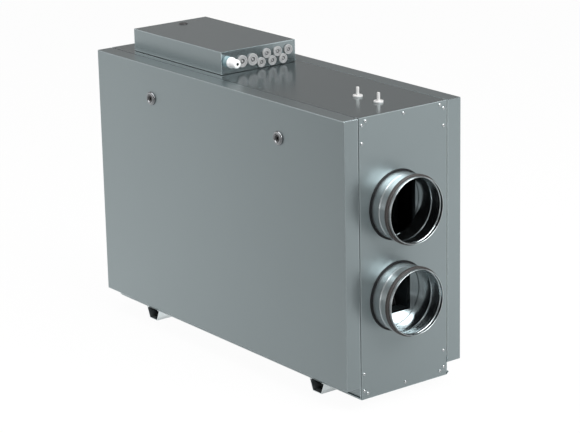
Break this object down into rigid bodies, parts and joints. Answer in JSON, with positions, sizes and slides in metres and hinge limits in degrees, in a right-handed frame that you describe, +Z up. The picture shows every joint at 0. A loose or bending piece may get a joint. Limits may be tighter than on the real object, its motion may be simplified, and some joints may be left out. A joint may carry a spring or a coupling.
{
  "type": "air handling unit",
  "caption": "Upright heat recovery air handling unit: sheet-steel casing with tilting service doors, round duct spigots, rails and a control box with cable glands.",
  "frame": {"origin": "on the floor, under the centre of the casing", "axes": "+Z up, +X along the casing towards the right-hand spigots, +Y from the front door to the rear door"},
  "size_m": [1.136, 0.357, 0.7565],
  "materials": {
    "casing_sheet": "smooth zinc-grey sheet, semi-gloss",
    "box_sheet": "smooth zinc-grey sheet, semi-gloss",
    "rail_sheet": "pale zinc-coated sheet",
    "duct_sheet": "bright rolled zinc-coated sheet",
    "inner_sheet": "plain zinc-coated inner sheet",
    "gasket_rubber": "grey-brown EPDM",
    "seal_rubber": "black cellular rubber",
    "lock_chrome": "bright chromed ring",
    "lock_black": "black insert",
    "gland_grey": "light grey nylon",
    "gland_white": "glossy white nylon",
    "exchanger_foil": "thin plates behind a folded end sheet",
    "filter_cloth": "pleated fleece in a card frame",
    "fan_sheet": "dark zinc-coated sheet",
    "fan_wheel": "dark wheel"
  },
  "bodies": {
    "casing": {"base_tray": "casing_sheet", "top_panel": "casing_sheet", "right_end_panel": "casing_sheet", "left_end_panel": "casing_sheet", "right_corner_posts": "casing_sheet", "left_corner_posts": "casing_sheet", "right_end_lining": "inner_sheet", "left_end_lining": "inner_sheet", "top_lining": "inner_sheet", "base_lining": "inner_sheet", "right_air_divider": "inner_sheet", "left_air_divider": "inner_sheet", "heat_exchanger": "exchanger_foil", "right_filter": "filter_cloth", "left_filter": "filter_cloth", "right_fan_housing": "fan_sheet", "left_fan_housing": "fan_sheet", "right_fan_wheel": "fan_wheel", "left_fan_wheel": "fan_wheel", "right_upper_spigot": "duct_sheet", "right_lower_spigot": "duct_sheet", "left_upper_spigot": "duct_sheet", "left_lower_spigot": "duct_sheet", "right_spigot_gaskets": "gasket_rubber", "left_spigot_gaskets": "gasket_rubber", "right_spigot_seals": "seal_rubber", "left_spigot_seals": "seal_rubber", "left_rail": "rail_sheet", "right_rail": "rail_sheet", "control_box_base": "box_sheet", "control_box_lid": "box_sheet", "lid_plug": "seal_rubber", "small_glands": "gland_grey", "large_glands": "gland_grey", "white_gland": "gland_white", "pressure_nipples": "gland_white"},
    "front_door": {"front_door_skin": "casing_sheet", "front_door_core": "inner_sheet", "front_door_seal": "seal_rubber", "front_lock_housings": "lock_chrome"},
    "front_left_lock": {"front_left_lock_core": "lock_black"},
    "front_right_lock": {"front_right_lock_core": "lock_black"},
    "rear_door": {"rear_door_skin": "casing_sheet", "rear_door_core": "inner_sheet", "rear_door_seal": "seal_rubber", "rear_lock_housings": "lock_chrome"},
    "rear_left_lock": {"rear_left_lock_core": "lock_black"},
    "rear_right_lock": {"rear_right_lock_core": "lock_black"}
  },
  "joints": [
    {"name": "front_door_tilt", "type": "hinge", "parent": "casing", "child": "front_door", "pos_m": [0, -0.1325, 0.0335], "axis": [1, 0, 0], "range_deg": [0, 30]},
    {"name": "front_left_lock_turn", "type": "hinge", "parent": "front_door", "child": "front_left_lock", "pos_m": [-0.26, -0.15, 0.614], "axis": [0, -1, 0], "range_deg": [0, 90]},
    {"name": "front_right_lock_turn", "type": "hinge", "parent": "front_door", "child": "front_right_lock", "pos_m": [0.26, -0.15, 0.614], "axis": [0, 1, 0], "range_deg": [0, 90]},
    {"name": "rear_door_tilt", "type": "hinge", "parent": "casing", "child": "rear_door", "pos_m": [0, 0.1325, 0.0335], "axis": [-1, 0, 0], "range_deg": [0, 30]},
    {"name": "rear_left_lock_turn", "type": "hinge", "parent": "rear_door", "child": "rear_left_lock", "pos_m": [-0.26, 0.15, 0.614], "axis": [0, -1, 0], "range_deg": [0, 90]},
    {"name": "rear_right_lock_turn", "type": "hinge", "parent": "rear_door", "child": "rear_right_lock", "pos_m": [0.26, 0.15, 0.614], "axis": [0, 1, 0], "range_deg": [0, 90]}
  ]
}
